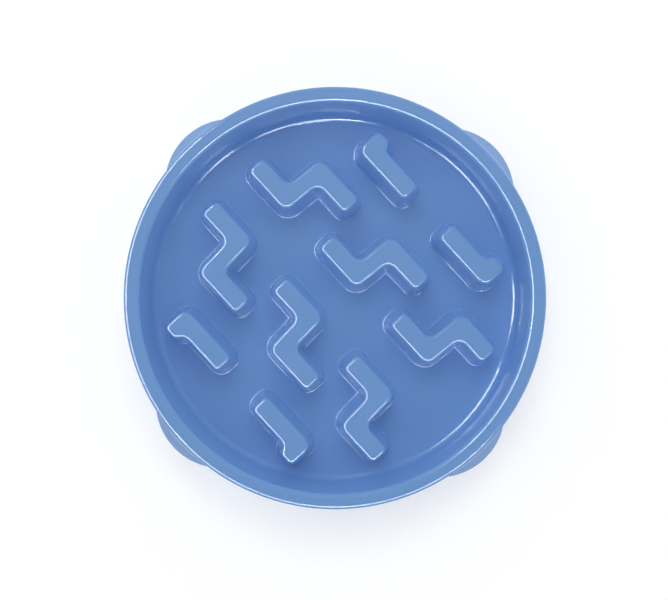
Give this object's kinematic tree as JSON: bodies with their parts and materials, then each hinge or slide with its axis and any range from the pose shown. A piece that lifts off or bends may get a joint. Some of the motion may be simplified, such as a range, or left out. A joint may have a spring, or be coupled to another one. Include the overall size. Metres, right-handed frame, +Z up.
{
  "type": "slow feeder bowl",
  "caption": "Round slow feeder bowl for pets: a hollow plastic moulding whose raised zigzag and hooked ridges slow eating, standing on rubber feet under lobes of its skirt.",
  "frame": {"origin": "centre of the bowl on the table, under the middle of the base", "axes": "+Z up; +X along the line that the ridge pattern mirrors about, towards the shortened zigzag arms; +Y across it"},
  "size_m": [0.231, 0.231, 0.044],
  "materials": {
    "blue_plastic": "satin gloss",
    "foot_rubber": "matt"
  },
  "bodies": {
    "root": {"bowl_shell": "blue_plastic", "rubber_foot_right": "foot_rubber", "rubber_foot_back": "foot_rubber", "rubber_foot_left": "foot_rubber", "rubber_foot_front": "foot_rubber"}
  },
  "joints": []
}
